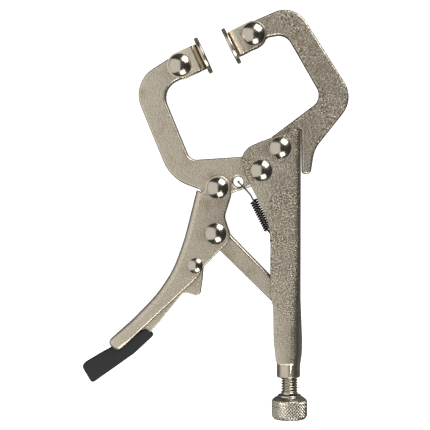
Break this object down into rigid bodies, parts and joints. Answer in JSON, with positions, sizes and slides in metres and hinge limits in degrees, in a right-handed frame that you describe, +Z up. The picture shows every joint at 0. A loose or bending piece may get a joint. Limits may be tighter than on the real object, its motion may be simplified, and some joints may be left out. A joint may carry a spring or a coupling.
{
  "type": "locking clamp pliers",
  "caption": "Small locking pliers with a C-shaped clamping mouth, swivelling round pads, a toggle lever with a dipped grip and a knurled adjusting screw.",
  "frame": {"origin": "middle of the tool's footprint as it lies flat, on the surface that its pads and knob lie on", "axes": "+Y towards the jaws, +X towards the spine of the main handle and the back of the fixed jaw, +Z up through the rivets"},
  "size_m": [0.0976, 0.15, 0.0143],
  "materials": {
    "blasted_steel": "grit-blasted and nickel-plated, satin with a fine dark grain",
    "plated_steel": "nickel-plated sheet and plate, smooth satin",
    "rivet_steel": "nickel-plated domed heads, nearly mirror bright",
    "pad_steel": "nickel-plated, satin",
    "screw_steel": "nickel-plated, rolled thread and knurled knob",
    "spring_wire": "black oiled spring wire",
    "dipped_vinyl": "black dipped vinyl, satin"
  },
  "bodies": {
    "root": {"main_handle": "blasted_steel", "fixed_jaw": "blasted_steel", "tension_spring": "spring_wire", "jaw_pivot_rivet": "rivet_steel", "fixed_jaw_rivet": "rivet_steel", "fixed_pad_rivet": "rivet_steel"},
    "fixed_pad": {"fixed_pad_bracket": "pad_steel", "fixed_pad_disc": "pad_steel"},
    "moving_jaw": {"moving_jaw": "plated_steel", "lever_pivot_rivet": "rivet_steel", "moving_pad_rivet": "rivet_steel"},
    "moving_pad": {"moving_pad_bracket": "pad_steel", "moving_pad_disc": "pad_steel"},
    "lever": {"lever_handle": "plated_steel", "toggle_rivet": "rivet_steel", "release_rivet": "rivet_steel"},
    "toggle_link": {"toggle_link": "plated_steel"},
    "release_lever": {"release_lever": "plated_steel", "release_grip": "dipped_vinyl"},
    "adjusting_screw": {"adjusting_screw": "screw_steel"},
    "screw_knob": {"screw_knob": "screw_steel"}
  },
  "joints": [
    {"name": "jaw_pivot", "type": "hinge", "parent": "root", "child": "moving_jaw", "pos_m": [0.017, 0.01625, 0.00715], "axis": [0, 0, 1], "range_deg": [-9.2, 0], "deforming": ["tension_spring"]},
    {"name": "lever_pivot", "type": "hinge", "parent": "moving_jaw", "child": "lever", "pos_m": [0.00105, 0.00985, 0.00715], "axis": [0, 0, 1], "range_deg": [0, 41]},
    {"name": "toggle_pivot", "type": "hinge", "parent": "lever", "child": "toggle_link", "pos_m": [0.0003, -0.0068, 0.00715], "axis": [0, 0, 1], "range_deg": [-47.5, 0]},
    {"name": "release_pivot", "type": "hinge", "parent": "lever", "child": "release_lever", "pos_m": [-0.0071, -0.0185, 0.00715], "axis": [0, 0, 1], "range_deg": [0, 10]},
    {"name": "fixed_pad_swivel", "type": "hinge", "parent": "root", "child": "fixed_pad", "pos_m": [0.01405, 0.066, 0.00715], "axis": [0, 0, 1], "range_deg": [-12, 12]},
    {"name": "moving_pad_swivel", "type": "hinge", "parent": "moving_jaw", "child": "moving_pad", "pos_m": [-0.0127, 0.0547, 0.00715], "axis": [0, 0, 1], "range_deg": [-12, 12]},
    {"name": "screw_slide", "type": "slide", "parent": "root", "child": "adjusting_screw", "axis": [0, -1, 0], "range_m": [0, 0.008]},
    {"name": "knob_turn", "type": "hinge", "parent": "adjusting_screw", "child": "screw_knob", "pos_m": [0.0273, -0.0662, 0.00715], "axis": [0, -1, 0], "range_deg": [0, 2880]}
  ],
  "couplings": [
    {"joint": "lever_pivot", "follows": "jaw_pivot", "ratio": -4.45},
    {"joint": "toggle_pivot", "follows": "jaw_pivot", "ratio": 5.15},
    {"joint": "knob_turn", "follows": "screw_slide", "rad_per_m": 6283.2}
  ]
}
